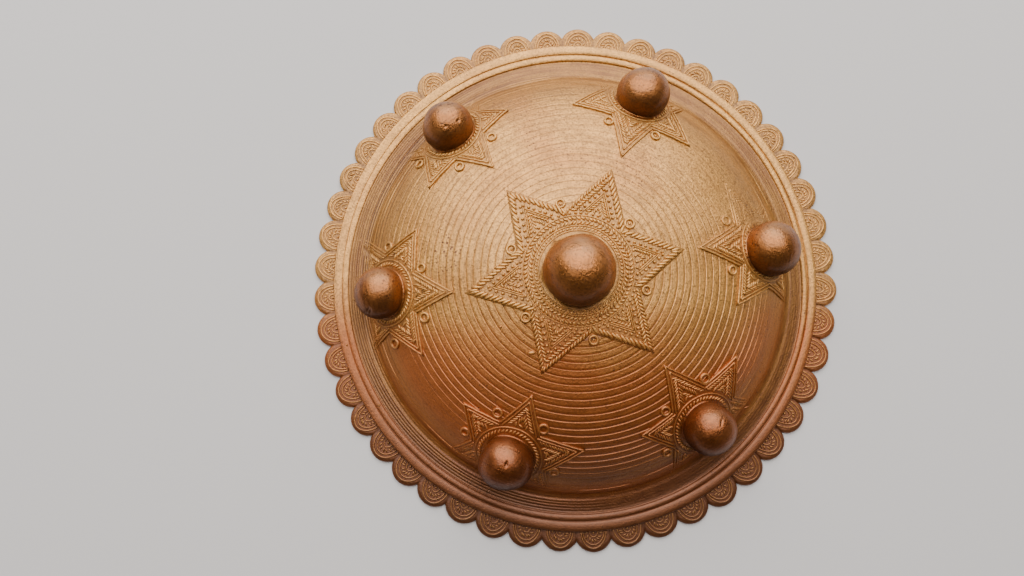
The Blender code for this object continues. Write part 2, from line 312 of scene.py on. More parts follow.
    depth = 0.0
    for value, height in (
            (grain, 0.35), (mottle, 0.8), (lines, 0.7), (speckle, 1.6), (share["pit"], -1.2)):
        depth = add_node(tree, MATH, {0: value, 1: height, 2: depth}, operation="MULTIPLY_ADD")
    bump = add_node(
        tree, "ShaderNodeBump", {"Height": depth, "Distance": 0.00025, "Strength": 0.7})
    tree.links.new(bump, shader.inputs["Normal"])
    return material


worn_bronze = cast_bronze_patinated(
    "bronze_cast_patinated", tan="#DCA050", brown="#AC5A20", orange_patina_and_light="#C46A30", red="#6C3814",
    wall_tan="#8A5C22", dirt_and_shade_brown="#4C2A14", rubbed="#E8AE5C",
    smooth=0.40, rough=0.54, metallic=0.70, coat=0.5, polish=0.40)
dull_bronze = cast_bronze_patinated(
    "bronze_as_cast_inside", tan="#96693C", brown="#74451F", orange_patina_and_light="#8A5228", red="#4C2816",
    wall_tan="#7C5228", dirt_and_shade_brown="#3A2413", rubbed="#A87848",
    smooth=0.52, rough=0.68, metallic=0.6, coat=0.2, polish=0.58)

# The rings of the shell, from the crown down the face, under the rim and up the inside:
# the run down the face, the lift square to it, and how rubbed the place is, with painted shade
# on the moulding's lower side
RIB_START = 0.03346
RIB_PITCH = 0.00368
RIBS = 20
RIB_DEPTH = 0.00040
RIB_PHASES = (0.0, 0.03, 0.07, 0.11, 0.15, 0.20, 0.55, 0.88, 0.93, 0.97)
GROOVE_SHARE = 0.13
COIL_WAVER = 0.00022
# The coils began around the crown star, which sits a little to the left, and are even round
# the dome from this run on
COILS_ASIDE = 0.00125
COILS_EVEN_RUN = 0.0913
COILS_EVEN_LENGTH = 0.039
# They are best kept on the lower side, and rubbed away over the upper right and, near the
# wall, over the lower left: the middle and half width in degrees, and the run where it begins
RUBBED_AREAS = ((38.0, 42.0, 0.060), (216.0, 26.0, 0.080))
ribs_end = RIB_START + RIBS * RIB_PITCH
columns = full_turn(COLUMNS)
rings = []
for run in np.linspace(0.003, RIB_START, 10, endpoint=False):
    rings.append(on_face(np.full(COLUMNS, run), columns, 0.0))
crest_and_painted_light = [np.full((len(rings), COLUMNS), 0.7)]
groove_drift = []
for rib in range(RIBS + 1):
    before_even = (COILS_EVEN_RUN - RIB_START - rib * RIB_PITCH) / COILS_EVEN_LENGTH
    aside = COILS_ASIDE * min(max(before_even, 0.0), 1.0)
    groove_drift.append(COIL_WAVER * waver(columns, 40 + rib) - aside * np.cos(columns))
for rib in range(RIBS):
    for phase in RIB_PHASES:
        drift = (1.0 - phase) * groove_drift[rib] + phase * groove_drift[rib + 1]
        run = RIB_START + (rib + phase) * RIB_PITCH + drift
        edge = max(0.0, 1.0 - min(phase, 1.0 - phase) / GROOVE_SHARE) ** 1.5
        rubbed = 0.0
        for middle, spread, start in RUBBED_AREAS:
            turn = np.abs((columns - math.radians(middle) + math.pi) % (2.0 * math.pi) - math.pi)
            down = np.clip((run - start) / 0.020, 0.0, 1.0)
            beside = np.clip(1.45 - turn / math.radians(spread), 0.0, 1.0)
            rubbed = np.maximum(rubbed, down * beside)
        onto_wall = np.clip((run - 0.093) / 0.012, 0.0, 1.0)
        depth = RIB_DEPTH * (0.65 - 0.35 * np.sin(columns))
        depth = depth * (1.0 - 0.85 * rubbed) * (1.0 - 0.5 * onto_wall)
        # Each coil stands up in a thin lip below its groove, sharpest on the lower side
        lip = math.exp(-((phase - 0.11) / 0.03) ** 2)
        rings.append(on_face(run, columns, -depth * edge + 0.45 * depth * lip))
        kept = depth / RIB_DEPTH
        crest_and_painted_light.append([0.80 - 0.70 * edge * (0.6 + 0.4 * kept) + 0.20 * lip * kept])

# The foot of the wall is filled softly into the rim. The coils go on down the wall on the left
# side alone, and so do the five fine threads that follow them on the rim.
FILL_START = 0.1045
FILL_WIDTH = 0.0149
FILL_DEPTH = 0.0013
# The wall's rings: first a groove each eight of them, as wide as a coil, then one each five
WALL_RINGS = 50
WIDE_RINGS = 30
WIDE_GROOVE = (0.55, 0.0, 0.0, 0.0, 0.0, 0.0, 0.55, 1.0)
FINE_GROOVE = (0.5, 1.0, 0.5, 0.0, 0.0)


def foot_fill(radius, angle):
    """How far the fill of soft wax lifts the foot of the wall."""
    share = np.clip((radius - FILL_START) / FILL_WIDTH, 0.0, 1.0)
    depth = FILL_DEPTH * (0.85 + 0.15 * np.cos(angle))
    return depth * np.sin(math.pi * share ** 0.85) ** 1.6


left_side = np.clip(-np.cos(columns - math.radians(8.0)), 0.0, 1.0) ** 0.7
wall_side = np.clip(np.cos(columns - math.radians(157.0)), 0.0, 1.0) ** 2
for step, run in enumerate(np.linspace(ribs_end, FACE, WALL_RINGS)[1:]):
    if step < WIDE_RINGS:
        share = WIDE_GROOVE[step % 8]
        drift = 0.00025 * waver(columns, 90 + (step + 6) // 8)
    else:
        share = FINE_GROOVE[step % 5]
        drift = 0.00006 * waver(columns, 97)
    groove = (0.02 + 0.28 * wall_side) * share
    radius = np.interp(run, face_run, face_radius)
    rings.append(on_face(run + drift, columns, foot_fill(radius, columns) - 0.001 * groove))
    crest_and_painted_light.append([0.78 - (0.15 + 0.65 * wall_side) * share - 0.12 * wall_side])


def bulge(share):
    """How high a half-round swelling stands, at a share of the way across it."""
    return math.sqrt(max(1.0 - (2.0 * share - 1.0) ** 2, 0.0))


# The moulding was laid by hand: it lies further out above and below than at the sides
moulding_inside = 0.1196 - 0.0004 * np.cos(2.0 * columns) - 0.0004 * np.sin(columns)
moulding_outside = 0.1277 - 0.0009 * np.cos(2.0 * columns) - 0.00035 * np.sin(columns)
THREADS = 5
THREADS_INSIDE = 0.1130
thread_width = (moulding_inside - THREADS_INSIDE) / THREADS
for number in range(THREADS):
    for share in (0.0, 0.16, 0.36, 0.5, 0.64, 0.84):
        radius = THREADS_INSIDE + thread_width * (number + share)
        radius = radius + 0.00010 * waver(columns, 140 + number)
        rise = (0.00004 + 0.00034 * left_side) * bulge(share)
        run = FACE + radius - FOOT_RADIUS
        rings.append(on_face(run, columns, rise + foot_fill(radius, columns)))
        crest_and_painted_light.append([0.70 - left_side * (0.55 - 0.68 * bulge(share))])
# Its two lobes: where each starts and ends across it, and how high it sits and stands
LOBES = ((0.0, 0.42, 0.0002, 0.0011), (0.42, 1.0, 0.0007, 0.0014))
LOBE_RINGS = 13
painted_shade_below = np.clip(-np.sin(columns), 0.0, 1.0)
for number, (start, end, seat, height) in enumerate(LOBES):
    for step in range(LOBE_RINGS):
        across = 0.5 * (1.0 - math.cos(math.pi * step / LOBE_RINGS))
        share = start + (end - start) * across
        radius = moulding_inside + (moulding_outside - moulding_inside) * share
        radius = radius + 0.00008 * waver(columns, 150 + number)
        # On the left the lobes are rubbed together into one broad band
        base = seat + (height - seat) * 0.75 * wall_side
        rise = base + (height - base) * bulge(across)
        rings.append(on_face(FACE + radius - FOOT_RADIUS, columns, rise))
        # Painted shade: the moulding's crest is lowered on its lower side
        wear_and_painted_shade = (0.35 + 0.60 * rise / height) * (1.0 - 0.30 * painted_shade_below)
        crest_and_painted_light.append([wear_and_painted_shade - 0.10 * left_side])
for out, height in ((0.0001, 0.0038), (0.0002, 0.0024)):
    rings.append(polar(moulding_outside + out, columns, height))
    crest_and_painted_light.append([np.full(COLUMNS, 0.4)])
# The rim's side and flat underside, and the mouth of the hollow, by reach and height
RIM_SIDE = ((0.1264, 0.0005), (0.1260, 0.0), (0.1190, 0.0))
MOUTH = ((0.1113, 0.0), (0.1109, 0.0003), (0.1105, 0.0008))
for radius, height in RIM_SIDE + MOUTH:
    rings.append(polar(radius, columns, height))
    crest_and_painted_light.append([np.full(COLUMNS, 0.5)])
inside_start = len(rings) - len(MOUTH)
inside_runs = FACE - np.array([0.0015, 0.0025, 0.0040, 0.0055, 0.0080, 0.0110, 0.0150])
inside_runs = np.concatenate([inside_runs, np.linspace(inside_runs[-1] - 0.006, 0.003, 20)])
for number, run in enumerate(inside_runs):
    rings.append(on_face(run, columns, -WALL + 0.00012 * waver(columns, 200 + number // 4)))
    crest_and_painted_light.append([np.full(COLUMNS, 0.45)])

shell_spots = np.array(rings)
rows = len(rings)
shell_faces = quads(rows, COLUMNS)
inside_first = (inside_start - 1) * COLUMNS
inside_faces = [False] * inside_first + [True] * (len(shell_faces) - inside_first)
shell_faces += pole_faces(rows, COLUMNS)
inside_faces += [False, True] * COLUMNS
poles = np.array([[0.0, 0.0, on_face(0.0, 0.0, 0.0)[2]], [0.0, 0.0, on_face(0.0, 0.0, -WALL)[2]]])
shell_spots = np.vstack([shell_spots.reshape(-1, 3), poles])
shell_crest = np.concatenate([np.vstack(crest_and_painted_light).ravel(), [0.5, 0.5]])
shell = make_piece("bronze_shell", shell_spots, shell_faces, shell_crest, worn_bronze, dull_bronze)
shell.data.polygons.foreach_set("material_index", np.array(inside_faces, dtype=np.int32))
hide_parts("buckler_casting")


# The scalloped flange
# It is cast in one with the dome. Each of its 48 scallops was a wax disc, trimmed by eye, with
# threads, a fan of short rope strands and a grain pressed onto it.
SCALLOPS = 48
SCALLOP_COLUMNS = 24
FLANGE_TOP = 0.0026
FLANGE_BACK = 0.00002
FLANGE_INSIDE = 0.1240
# The threads bent over from notch to notch: half width, how far the top stays from the tip,
# half thickness and height
SCALLOP_THREADS = (
    (0.0067, 0.0021, 0.00056, 0.00060), (0.0053, 0.0039, 0.00050, 0.00058),
    (0.0021, 0.0078, 0.00042, 0.00045))
# The fan: its strands, half width, how far it stays from the tip, and a strand's half sizes
FAN_STRANDS = 8
FAN_HALF_WIDTH = 0.0037
FAN_FROM_TIP = 0.0059
STRAND = (0.00135, 0.00050, 0.00060)
SCALLOP_HALF_WIDTH = 0.00825
# The flange's rings, as shares of the way out to the scalloped edge
FLANGE_RINGS = (0.0, 0.12, 0.26, 0.40, 0.54, 0.66, 0.76, 0.84, 0.90, 0.95, 0.985, 1.0)

even = math.radians(4.9) + (np.arange(SCALLOPS + 1) - 0.5) * 2.0 * math.pi / SCALLOPS
notches = even + math.radians(1.5) * np.sin(even + math.radians(21.5))
scallop_draw = np.random.default_rng(48)


class WaxWork:
    """Threads and grains of wax, gathered in flat coordinates with a lift above them."""

    def __init__(self):
        self.spots = []
        self.faces = []
        self.crest_and_painted_light = []
        self.count = 0

    def add(self, spots, faces, crest_and_painted_light):
        """Takes in closed bodies: their points, their faces and each point's crest."""
        self.spots.append(spots)
        self.faces.extend([corner + self.count for corner in face] for face in faces)
        self.crest_and_painted_light.append(crest_and_painted_light)
        self.count += len(spots)

    def grains(self, x, y, turn, length, width, height, base=0.0):
        """Small ovals, as long and wide as the half sizes given, turned in the plane."""
        x, y, turn, length, width, height = np.broadcast_arrays(x, y, turn, length, width, height)
        unit = [[[0.0, 0.0, 1.0]]]
        for tilt in np.radians([38.0, 75.0, 115.0]):
            unit.append(polar(math.sin(tilt), full_turn(8), math.cos(tilt)))
        unit = np.vstack(unit + [[[0.0, 0.0, -1.0]]])
        faces = []
        for column in range(8):
            after = (column + 1) % 8
            faces.append([0, 1 + column, 1 + after])
            for ring in (1, 9):
                faces.append([ring + column, ring + 8 + column, ring + 8 + after, ring + after])
            faces.append([17 + column, 25, 17 + after])
        x, y, turn, length, width, height = [
            np.ravel(value)[:, None] for value in (x, y, turn, length, width, height)]
        along = unit[:, 0] * length
        across = unit[:, 1] * width
        spots = np.stack([
            x + along * np.cos(turn) - across * np.sin(turn),
            y + along * np.sin(turn) + across * np.cos(turn),
            base + unit[:, 2] * height], axis=-1)
        level = np.clip(0.50 + 0.80 * unit[:, 2], 0.0, 1.0)
        starts = range(0, len(x) * len(unit), len(unit))
        faces = [[corner + start for corner in face] for start in starts for face in faces]
        self.add(spots.reshape(-1, 3), faces, np.tile(level, len(x)))

    def thread(self, path, width, height, closed=False, base=0.0):
        """A round thread of wax along a path, half sunk in what it lies on."""
        path = np.asarray(path)
        if closed:
            heading = np.roll(path, -1, axis=0) - np.roll(path, 1, axis=0)
        else:
            heading = np.gradient(path, axis=0)
        heading /= np.linalg.norm(heading, axis=1, keepdims=True)
        side = np.stack([-heading[:, 1], heading[:, 0]], axis=-1)
        section = np.radians([-15.0, 30.0, 65.0, 90.0, 115.0, 150.0, 195.0, 270.0])
        spots = []
        for angle in section:
            flat_spots = path + side * width * math.cos(angle)
            lift = np.full((len(path), 1), base + height * math.sin(angle))
            spots.append(np.hstack([flat_spots, lift]))
        spots = np.array(spots).transpose(1, 0, 2)
        rows, around = spots.shape[:2]
        faces = [face[::-1] for face in quads(rows, around, wrap_rows=closed)]
        if not closed:
            faces.append(list(range(around))[::-1])
            faces.append(list(range((rows - 1) * around, rows * around)))
        level = np.clip(0.36 + 0.62 * np.sin(section), 0.0, 1.0)
        self.add(spots.reshape(-1, 3), faces, np.tile(level, rows))

    def rope(self, path, pitch, slant, length, width, height, closed=False, base=0.0, draw=None):
        """Short slanted strands side by side along a path."""
        path = np.asarray(path)
        if closed:
            path = np.vstack([path, path[:1]])
        steps = np.linalg.norm(np.diff(path, axis=0), axis=1)
        along = np.concatenate([[0.0], np.cumsum(steps)])
        count = max(int(round(along[-1] / pitch)), 1)
        at = (np.arange(count) + 0.5) * along[-1] / count
        if draw is not None:
            at = at + draw.normal(0.0, 0.06 * pitch, count)
            length = length * draw.uniform(0.88, 1.12, count)
            height = height * draw.uniform(0.80, 1.12, count)
            slant = slant + draw.normal(0.0, 0.08, count)
        x = np.interp(at, along, path[:, 0])
        y = np.interp(at, along, path[:, 1])
        step = 0.0002
        over = [np.interp(at + step, along, path[:, axis])
                - np.interp(at - step, along, path[:, axis]) for axis in (0, 1)]
        turn = np.arctan2(over[1], over[0]) + slant
        self.grains(x, y, turn, length, width, height, base)


flange_angle = []
flange_edge = []
flange_seam = []
flange_work = WaxWork()
for scallop in range(SCALLOPS):
    start, stop = notches[scallop], notches[scallop + 1]
    middle = 0.5 * (start + stop)
    half = 0.5 * (stop - start)
    # The discs were set by hand: they reach further above and below than at the sides
    tip = 0.1390 - 0.0005 * math.cos(2.0 * middle) - 0.0003 * math.sin(middle)
    tip += 0.0002 * math.cos(middle) + scallop_draw.uniform(-0.0004, 0.0003)
    notch = 0.1334 - 0.0008 * math.cos(2.0 * middle) - 0.0003 * math.sin(middle)
    foot = 0.1278 - 0.0009 * math.cos(2.0 * middle) - 0.00035 * math.sin(middle)
    rise = tip - notch * math.cos(half)
    side = notch * math.sin(half)
    arc = (rise * rise + side * side) / (2.0 * rise)
    spread = math.atan2(side, arc - rise)
    turn = -spread + 2.0 * spread * np.arange(SCALLOP_COLUMNS) / SCALLOP_COLUMNS
    x = tip - arc + arc * np.cos(turn)
    y = arc * np.sin(turn)
    flange_angle.extend(middle + np.arctan2(y, x))
    flange_edge.extend(np.hypot(x, y))
    flange_seam.extend(half - np.abs(np.arctan2(y, x)))

    # The threads, a fan of leaning strands and a grain, laid out across and out from the foot
    work = WaxWork()
    lean = scallop_draw.normal(0.0, 0.03)
    wide = half * foot / SCALLOP_HALF_WIDTH * scallop_draw.uniform(0.96, 1.04)
    tall = (tip - foot) * scallop_draw.uniform(0.97, 1.02)
    bow = np.linspace(0.02, math.pi - 0.02, 21)
    for half_width, from_tip, thick, high in SCALLOP_THREADS:
        across = half_width * wide * (1.0 + 0.03 * scallop_draw.normal())
        path = np.stack([across * np.cos(bow), (tall - from_tip) * np.sin(bow)], axis=-1)
        work.thread(path, thick, high)
    fan = np.linspace(0.20, math.pi - 0.20, FAN_STRANDS)
    fan += scallop_draw.normal(0.0, 0.05, FAN_STRANDS)
    slant = fan + scallop_draw.choice([0.55, 0.75, -0.6])
    work.grains(
        FAN_HALF_WIDTH * wide * np.cos(fan), (tall - FAN_FROM_TIP) * np.sin(fan), slant,
        STRAND[0], STRAND[1], STRAND[2] * scallop_draw.uniform(0.7, 1.15, FAN_STRANDS))
    work.grains(0.0, 0.0010, 0.0, 0.0008, 0.0007, 0.0006)
    across, out, lift = np.vstack(work.spots).T
    angle = middle + 10.0 * lean * out - across / (foot + 0.6 * out)
    drop = 0.0004 * np.clip(np.hypot(across / 0.008, out / 0.012), 0.0, 1.0) ** 2
    spots = polar(foot + out, angle, FLANGE_TOP - drop + lift)
    flange_work.add(spots, work.faces, np.concatenate(work.crest_and_painted_light))

flange_angle = np.array(flange_angle)
flange_edge = np.array(flange_edge)
flange_seam = np.array(flange_seam)
flange_rows = []
flange_crest = []
for share in FLANGE_RINGS:
    radius = FLANGE_INSIDE + (flange_edge - FLANGE_INSIDE) * share
    inset = flange_edge - radius
    height = FLANGE_TOP - 0.0011 * (1.0 - np.clip(inset / 0.0024, 0.0, 1.0)) ** 1.6
    # The discs' seams are slight, but open towards the lower right
    seam = np.exp(-(flange_seam * radius / 0.00045) ** 2)
    seam = seam * np.clip((radius - 0.1262) / 0.002, 0.0, 1.0)
    opened = np.clip(np.cos(flange_angle + math.radians(42.0)) * 2.2 - 1.2, 0.0, 1.0)
    height = height - (0.00012 + 0.0008 * opened) * seam - 0.0004 * (share == 1.0)
    flange_rows.append(polar(radius, flange_angle, height))
    border = 0.72 - 0.44 * (inset > 0.0018)
    flange_crest.append(border * (1.0 - 0.6 * seam))
for radius, height in (
        (flange_edge, 0.0006), (flange_edge - 0.0004, FLANGE_BACK),
        (flange_edge - 0.0040, FLANGE_BACK), (FLANGE_INSIDE, FLANGE_BACK)):
    flange_rows.append(polar(radius, flange_angle, height))
    flange_crest.append(np.full_like(flange_edge, 0.45))
flange_work.add(
    np.array(flange_rows).reshape(-1, 3),
    quads(len(flange_rows), len(flange_angle), wrap_rows=True),
    np.array(flange_crest).ravel())
make_piece(
    "scalloped_flange", np.vstack(flange_work.spots), flange_work.faces,
    np.concatenate(flange_work.crest_and_painted_light), worn_bronze)


# The star on the crown
# Low relief laid on in wax before casting: a thin star-shaped ground, herringbone ropes along
# its edges, a line of grains, woven filling in the arms, and rings of rope around the boss.
CROWN_SHIFT = (-0.0018, -0.0003)
# Its tips, by turn in degrees and reach
CROWN_TIPS = (
    (12.0, 0.0534), (71.3, 0.0540), (130.4, 0.0535), (190.8, 0.0558), (250.1, 0.0526),
    (312.6, 0.0533))
CROWN_NOTCH_SHARE = 0.575
CROWN_HOLE = 0.0150
GROUND_LIFT = 0.00040
GROUND_ROOT = 0.0012
EDGE_STEPS = 12
PATH_POINTS = 24
# Some edges have one bold row of long strands, and some two rows that lean against each other.
# A row is its inset from the edge, its lean and pitch, and half length, half width and height.
EDGE_ROWS = {
    "bold": ((0.00195, 0.62, 0.00235, 0.00300, 0.00088, 0.00105),),
    "double": (
        (0.00115, 0.62, 0.00185, 0.00190, 0.00068, 0.00095),
        (0.00330, -0.62, 0.00185, 0.00190, 0.00068, 0.00095)),
}
EDGES = ("bold", "bold", "double") + ("bold",) * 5 + ("double",) * 3 + ("bold",)
# Next come a line of grains and, past two threads, three rows of woven filling
INNER_ROWS = (
    (0.00530, 0.0, 0.00300, 0.00090, 0.00088, 0.00125),
    (0.00860, -0.6, 0.00160, 0.00150, 0.00056, 0.00080),
    (0.01050, 0.6, 0.00160, 0.00150, 0.00056, 0.00080),
    (0.01240, -0.6, 0.00160, 0.00120, 0.00056, 0.00070))
INNER_THREADS = (0.00660, 0.00745)
RINGS_REACH = 0.0286
# The ropes round the boss, by reach, pitch, slant, half length, half width and height, and the
# threads between them, by reach and half thickness
CROWN_ROPES = (
    (0.0206, 0.00175, 0.75, 0.00110, 0.00056, 0.00060),
    (0.0231, 0.00205, 0.72, 0.00160, 0.00070, 0.00095),
    (0.0254, 0.00205, -0.72, 0.00160, 0.00070, 0.00095),
    (0.0281, 0.00275, 0.0, 0.00085, 0.00080, 0.00110))
CROWN_THREADS = ((0.0194, 0.00036), (0.0217, 0.00038), (0.0267, 0.00034))
CROWN_EYELETS = (42.8, 104.5, 162.0, 221.5, 281.8, 344.0)
CROWN_EYELET_REACH = 0.0338
crown_draw = np.random.default_rng(7)


def cross(a, b):
    """The flat cross product of two directions."""
    return a[0] * b[1] - a[1] * b[0]


def edge_path(tip, notch, inset, keep_out):
    """The path inset from a star's edge, as far as its half arm goes and outside a circle
    round the star's middle, or None where there is no room for it."""
    heading = (notch - tip) / np.linalg.norm(notch - tip)
    inward = np.array([-heading[1], heading[0]])
    if inward @ tip > 0.0:
        inward = -inward
    start = -inset * cross(inward, tip) / cross(heading, tip)
    stop = -(cross(tip, notch) + inset * cross(inward, notch)) / cross(heading, notch)
    if stop <= start:
        return None
    path = tip + inward * inset + heading * np.linspace(start, stop, PATH_POINTS)[:, None]
    path = path[np.hypot(path[:, 0], path[:, 1]) > keep_out]
    return path if len(path) > 2 else None


def star_corners(tips, notch_share):
    """Tips and notches of a star as points, in turn, from each tip's turn and reach."""
    corners = []
    for (turn, reach), (turn_after, reach_after) in zip(tips, tips[1:] + tips[:1]):
        between = turn + 0.5 * ((turn_after - turn) % 360.0)
        deep = notch_share * 0.5 * (reach + reach_after)
        corners.append(polar(reach, math.radians(turn), 0.0)[:2])
        corners.append(polar(deep, math.radians(between), 0.0)[:2])
    return corners


def half_arms(corners):
    """Each star arm as two halves: its tip, a notch, and the side that the half is on."""
    count = len(corners)
    for tip in range(0, count, 2):
        yield corners[tip], corners[(tip + 1) % count], 1.0
        yield corners[tip], corners[(tip - 1) % count], -1.0


def star_ground(work, corners, hole, lift, root):
    """The thin ground of a star, with a soft edge, closed below inside the wall."""
    outline = []
    for corner, after in zip(corners, corners[1:] + corners[:1]):
        for step in range(EDGE_STEPS):
            outline.append(corner + (after - corner) * step / EDGE_STEPS)
    outline = np.array(outline)
    reach = np.hypot(outline[:, 0], outline[:, 1])
    heading = outline / reach[:, None]
    rows = []
    crest_and_painted_light = []
    for share in (0.0, 0.15, 0.30, 0.45, 0.60, 0.72, 0.83, 0.92, 1.0):
        rows.append((hole + (reach - 0.0002 - hole) * share, lift))
        crest_and_painted_light.append(0.42)
    rows.extend([
        (reach, lift - 0.0002), (reach + 0.0002, -0.0004), (reach, -root),
        (np.full_like(reach, hole), -root)])
    crest_and_painted_light.extend([0.5, 0.2, 0.2, 0.2])
    spots = []
    for radius, level in rows:
        spots.append(np.hstack([heading * radius[:, None], np.full((len(reach), 1), level)]))
    levels = np.repeat(crest_and_painted_light, len(reach))
    work.add(np.array(spots).reshape(-1, 3), quads(len(rows), len(reach), wrap_rows=True), levels)


def circle(radius, count=72, seed=None, wander=0.0):
    """A flat circle of points, that may wander a little."""
    turn = full_turn(count)
    reach = radius + (wander * waver(turn, seed) if seed is not None else 0.0)
    return np.stack([reach * np.cos(turn), reach * np.sin(turn)], axis=-1)


def eyelet(work, x, y, draw, dot=True):
    """A small ring of wax thread, with a grain in its middle or an open hole."""
    size = draw.uniform(0.92, 1.06)
    path = circle(0.0021 * size, 20) + (x, y)
    work.thread(path, 0.00078 * size, 0.00105, closed=True, base=0.0001)
    if dot:
        work.grains(x, y, 0.0, 0.00075, 0.00075, 0.0008)


crown = WaxWork()
corners = star_corners(CROWN_TIPS, CROWN_NOTCH_SHARE)
star_ground(crown, corners, CROWN_HOLE, GROUND_LIFT, GROUND_ROOT)
for style, (tip, notch, hand) in zip(EDGES, half_arms(corners)):
    for inset, lean, pitch, length, width, height in EDGE_ROWS[style] + INNER_ROWS:
        path = edge_path(tip, notch, inset, RINGS_REACH)
        if path is not None:
            crown.rope(
                path, pitch, hand * lean, length, width, height, base=GROUND_LIFT,
                draw=crown_draw)
    for inset in INNER_THREADS:
        path = edge_path(tip, notch, inset, RINGS_REACH)
        if path is not None:
            crown.thread(path, 0.00040, 0.00075, base=GROUND_LIFT)
for radius, pitch, slant, length, width, height in CROWN_ROPES:
    crown.rope(
        circle(radius), pitch, slant, length, width, height, closed=True, base=GROUND_LIFT,
        draw=crown_draw)
for radius, thick in CROWN_THREADS:
    crown.thread(circle(radius), thick, 0.00062, closed=True, base=GROUND_LIFT)
for turn in CROWN_EYELETS:
    x, y, _ = polar(CROWN_EYELET_REACH, math.radians(turn), 0.0)
    eyelet(crown, x, y, crown_draw)
spots = np.vstack(crown.spots)
x, y = spots[:, 0] + CROWN_SHIFT[0], spots[:, 1] + CROWN_SHIFT[1]
run = np.interp(np.hypot(x, y), face_radius, face_run)
spots = on_face(run, np.arctan2(y, x), spots[:, 2])
make_piece("crown_star", spots, crown.faces, np.concatenate(crown.crest_and_painted_light), worn_bronze)


# The stars around the six outer bosses
# The same wax work: two plain threads along each edge, slanted rope filling the arms in
# nested rows, a ring and a rope around the boss, and open eyelets in the notches.

# Where the bosses stand, by reach and turn
BOSS_SPOTS = (
    (0.0969, 8.4), (0.0993, 70.5), (0.0995, 130.8), (0.0973, 185.1), (0.0963, 248.4),
    (0.0965, 309.7))
# Each star's tips, by turn and reach, from the one that points to the crown, and its eyelets
RING_TIPS = (
    ((175.3, 0.0415), (228.1, 0.0365), (300.2, 0.0351),
     (354.0, 0.0250), (420.5, 0.0357), (473.5, 0.0399)),
    ((180.4, 0.0414), (239.1, 0.0375), (301.7, 0.0335),
     (360.0, 0.0250), (417.0, 0.0330), (479.5, 0.0371)),
    ((183.4, 0.0354), (248.4, 0.0323), (301.2, 0.0339),
     (360.0, 0.0250), (419.6, 0.0348), (483.1, 0.0343)),
    ((173.4, 0.0380), (236.6, 0.0365), (302.0, 0.0385),
     (360.0, 0.0250), (417.9, 0.0332), (477.4, 0.0379)),
    ((180.8, 0.0354), (240.1, 0.0351), (299.2, 0.0359),
     (354.2, 0.0278), (416.3, 0.0339), (477.2, 0.0383)),
    ((178.0, 0.0396), (237.3, 0.0339), (304.4, 0.0328),
     (360.0, 0.0260), (418.6, 0.0379), (475.5, 0.0383)),
)
RING_EYELETS = (
    ((201.0, 0.0266), (145.4, 0.0275)), ((210.9, 0.0261), (154.3, 0.0261)),
    ((211.5, 0.0240), (155.9, 0.0241), (92.0, 0.0231)),
    ((203.3, 0.0242), (145.4, 0.0260), (265.7, 0.0238), (92.7, 0.0256)),
    ((211.6, 0.0241), (153.5, 0.0242), (90.0, 0.0240), (263.6, 0.0244)),
    ((208.6, 0.0241), (146.6, 0.0245), (270.0, 0.0228)),
)
# Where each star is most rubbed away, as a turn, and by how much
RING_WEAR = ((75.0, 0.90), (20.0, 0.80), (-10.0, 0.70), (-20.0, 0.25), (0.0, 0.60), (20.0, 0.45))
RING_NOTCH_SHARE = 0.565
RING_HOLE = 0.0110
# The threads, by inset from the edge and half thickness, the insets of the rope filling, and
# how near to the boss each of them comes
RING_THREADS = ((0.00045, 0.00050), (0.00200, 0.00048))
RING_FILLING = (0.00370, 0.00600, 0.00830, 0.01060)
THREADS_REACH = 0.0178
FILLING_REACH = 0.0182


def face_frame(radius, turn):
    """Placing on the face: down the slope, sideways and square to it, and the point."""
    slope = np.interp(radius, face_radius, face_slope)
    c, s = math.cos(turn), math.sin(turn)
    down = np.array([math.cos(slope) * c, math.cos(slope) * s, -math.sin(slope)])
    normal = np.array([math.sin(slope) * c, math.sin(slope) * s, math.cos(slope)])
    middle = np.array([radius * c, radius * s, np.interp(radius, face_radius, face_height)])
    return down, np.cross(normal, down), normal, middle


def drape(spots, place):
    """Lays flat spots on the face, straight down from a star's own plane."""
    down, side, normal, middle = place
    plane = middle + spots[:, :1] * down + spots[:, 1:2] * side
    fall = np.zeros(len(spots))
    for _ in range(25):
        point = plane + fall[:, None] * normal
        radius = np.hypot(point[:, 0], point[:, 1])
        above = point[:, 2] - np.interp(radius, face_radius, face_height)
        fall -= 0.8 * above
    run = np.interp(radius, face_radius, face_run)
    return on_face(run, np.arctan2(point[:, 1], point[:, 0]), spots[:, 2])


